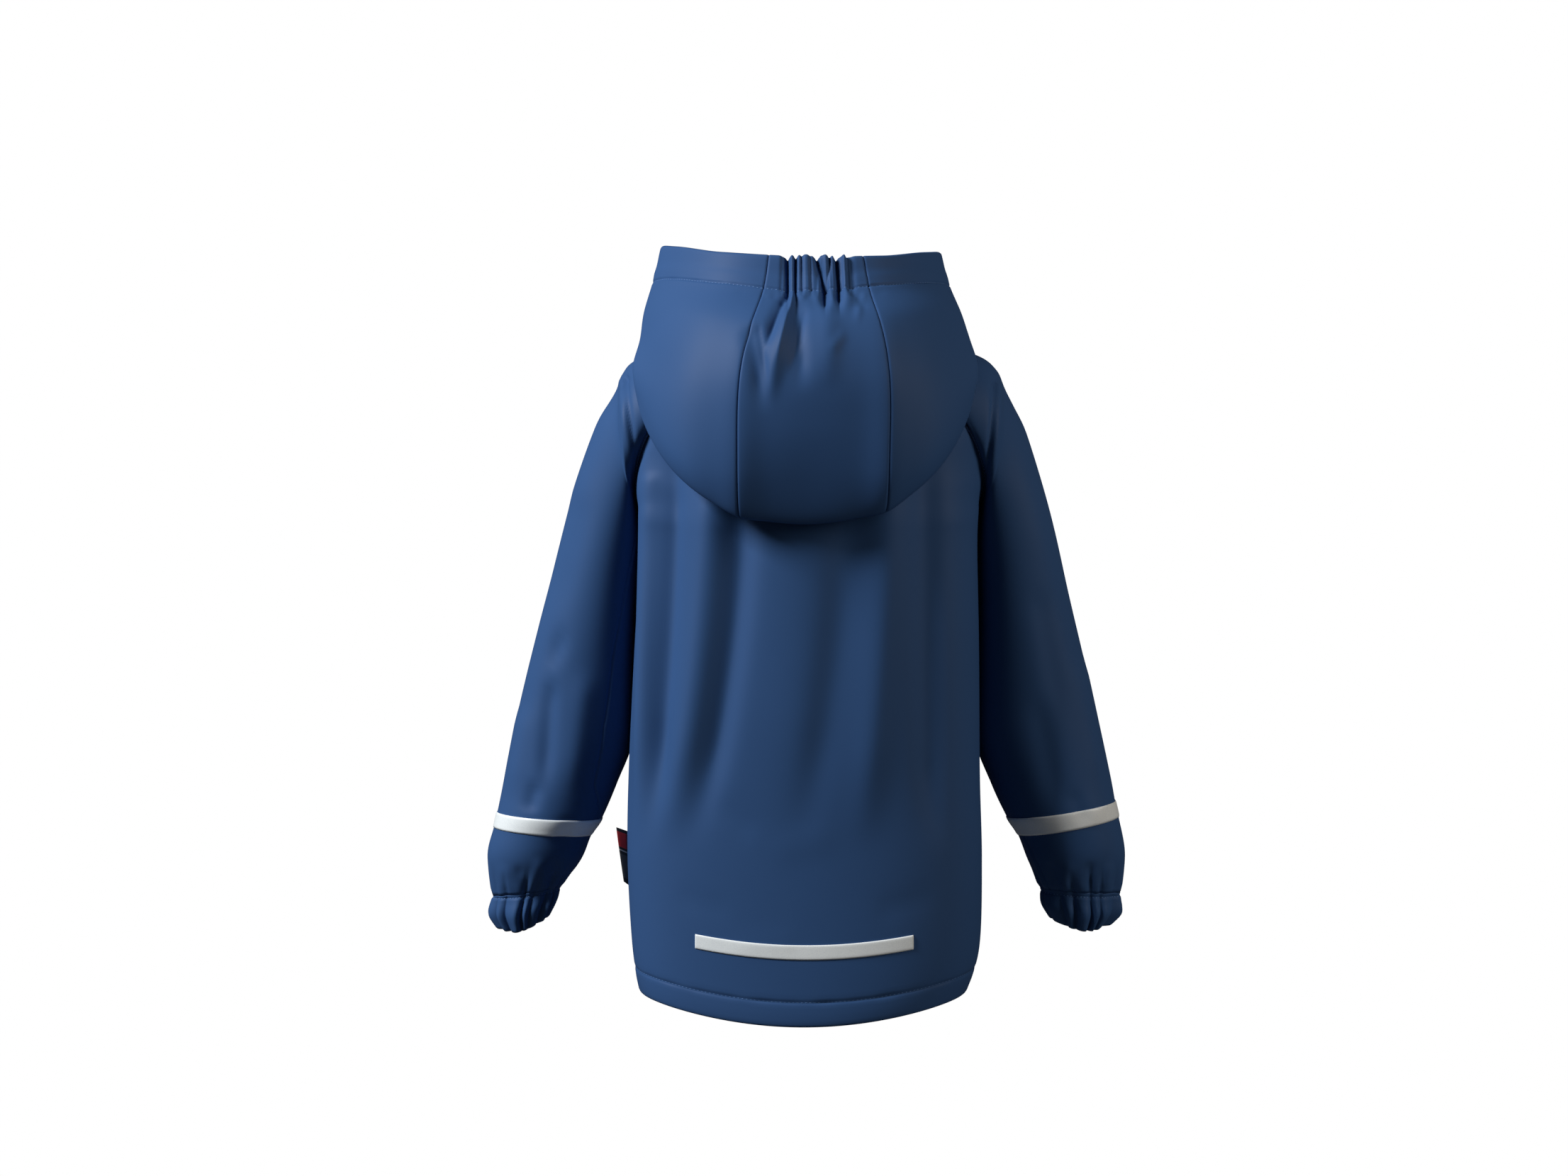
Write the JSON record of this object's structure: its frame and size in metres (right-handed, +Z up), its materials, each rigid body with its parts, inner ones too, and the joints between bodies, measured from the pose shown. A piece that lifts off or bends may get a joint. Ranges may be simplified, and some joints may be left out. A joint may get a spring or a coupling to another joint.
{
  "type": "kids raincoat",
  "caption": "Child's hooded raincoat in worn form with raglan sleeves, gathered cuffs, reflective tape and a press-stud placket, hood hanging down behind.",
  "frame": {"origin": "middle of the neck opening, level with the side of the neck, where the wearer's neck and shoulders hold the garment", "axes": "+Z up, the back of the garment faces +Y and the front -Y, +X towards the wearer's left"},
  "size_m": [0.5451, 0.2629, 0.6352],
  "materials": {
    "coated_cloth": "smooth polyurethane-coated cloth, satin",
    "reflective_tape": "silver glass-bead tape",
    "label": "woven black label with plain bands",
    "press_stud": "moulded cap"
  },
  "bodies": {
    "root": {"back_panel": "coated_cloth", "front_left": "coated_cloth", "front_right": "coated_cloth", "sleeve_left": "coated_cloth", "sleeve_right": "coated_cloth", "cuff_left": "coated_cloth", "cuff_right": "coated_cloth", "hood_left": "coated_cloth", "hood_middle": "coated_cloth", "hood_right": "coated_cloth", "back_tape": "reflective_tape", "sleeve_tape_left": "reflective_tape", "sleeve_tape_right": "reflective_tape", "label": "label", "stud_1": "press_stud", "stud_2": "press_stud", "stud_3": "press_stud", "stud_4": "press_stud", "stud_5": "press_stud", "stud_6": "press_stud"}
  },
  "joints": []
}
